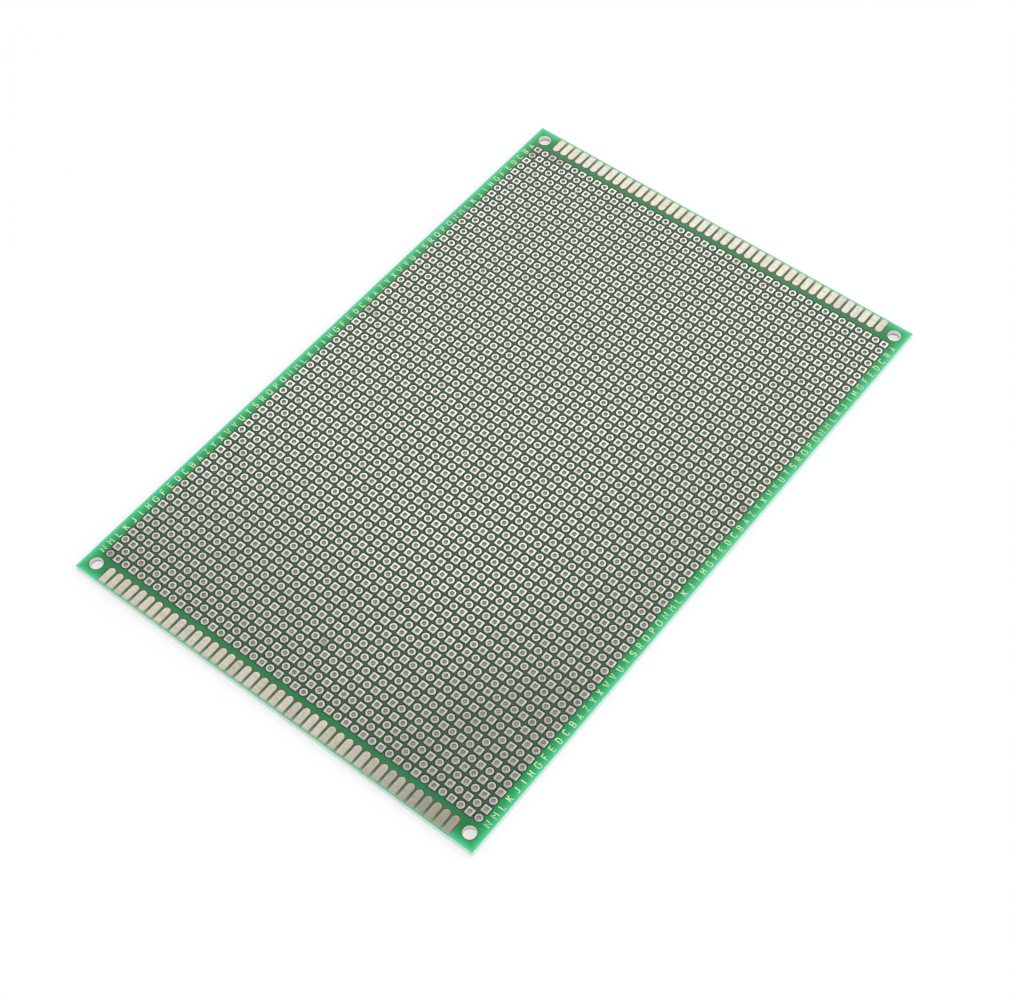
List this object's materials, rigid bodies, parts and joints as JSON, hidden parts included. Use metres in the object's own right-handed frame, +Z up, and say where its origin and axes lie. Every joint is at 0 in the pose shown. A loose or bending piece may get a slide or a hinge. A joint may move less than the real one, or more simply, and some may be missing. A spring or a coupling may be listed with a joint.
{
  "type": "prototype circuit board",
  "caption": "Double-sided green prototype board with a lattice of plated square and round lead holes, tinned contact fingers along both short ends and a plated mounting hole in each corner.",
  "frame": {"origin": "centre of the underside of the board's bounding box", "axes": "+X along the short side to the picture's right, +Y along the long side to the far end with lattice row A, +Z up out of the upper face"},
  "size_m": [0.12, 0.18, 0.0017],
  "materials": {
    "laminate": "green solder mask on glass fibre and epoxy, satin gloss",
    "tin": "hot-air levelled tin, softly rippled"
  },
  "bodies": {
    "root": {"corner_eyelets": "tin", "laminate_band_1": "laminate", "laminate_band_2": "laminate", "laminate_band_3": "laminate", "laminate_band_4": "laminate", "laminate_band_5": "laminate", "laminate_band_6": "laminate", "far_fingers_top": "tin", "far_fingers_under": "tin", "near_fingers_top": "tin", "near_fingers_under": "tin"}
  },
  "joints": []
}
